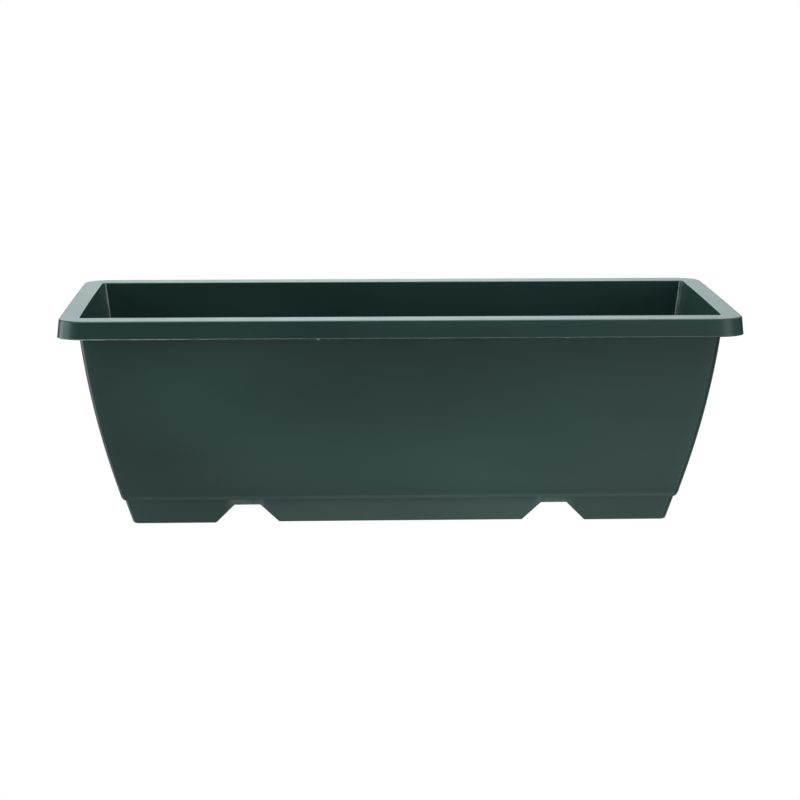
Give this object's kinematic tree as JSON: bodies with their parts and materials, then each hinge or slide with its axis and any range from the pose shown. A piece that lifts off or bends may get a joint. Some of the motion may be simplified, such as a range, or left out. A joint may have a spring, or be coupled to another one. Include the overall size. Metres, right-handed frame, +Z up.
{
  "type": "trough cachepot",
  "caption": "Long tapering plastic trough with a turned-over rim and a hollow notched foot; pull-out plugs close its drain holes so it holds potted plants.",
  "frame": {"origin": "centre of the base, on the ground under the middle of the trough", "axes": "+X along the trough's length, +Y across it towards the back, +Z up out of the opening"},
  "size_m": [0.5, 0.172, 0.1585],
  "materials": {
    "trough_polypropylene": "dark green injection-moulded polypropylene, satin",
    "plug_polyethylene": "black moulded polyethylene, soft satin"
  },
  "bodies": {
    "trough": {"trough": "trough_polypropylene"},
    "plug_front_left": {"drain_plug_front_left": "plug_polyethylene"},
    "plug_front_right": {"drain_plug_front_right": "plug_polyethylene"},
    "plug_back_left": {"drain_plug_back_left": "plug_polyethylene"},
    "plug_back_right": {"drain_plug_back_right": "plug_polyethylene"}
  },
  "joints": [
    {"name": "pull_plug_front_left", "type": "slide", "parent": "trough", "child": "plug_front_left", "axis": [0, 0, 1], "range_m": [0, 0.15]},
    {"name": "pull_plug_front_right", "type": "slide", "parent": "trough", "child": "plug_front_right", "axis": [0, 0, 1], "range_m": [0, 0.15]},
    {"name": "pull_plug_back_left", "type": "slide", "parent": "trough", "child": "plug_back_left", "axis": [0, 0, 1], "range_m": [0, 0.15]},
    {"name": "pull_plug_back_right", "type": "slide", "parent": "trough", "child": "plug_back_right", "axis": [0, 0, 1], "range_m": [0, 0.15]}
  ]
}
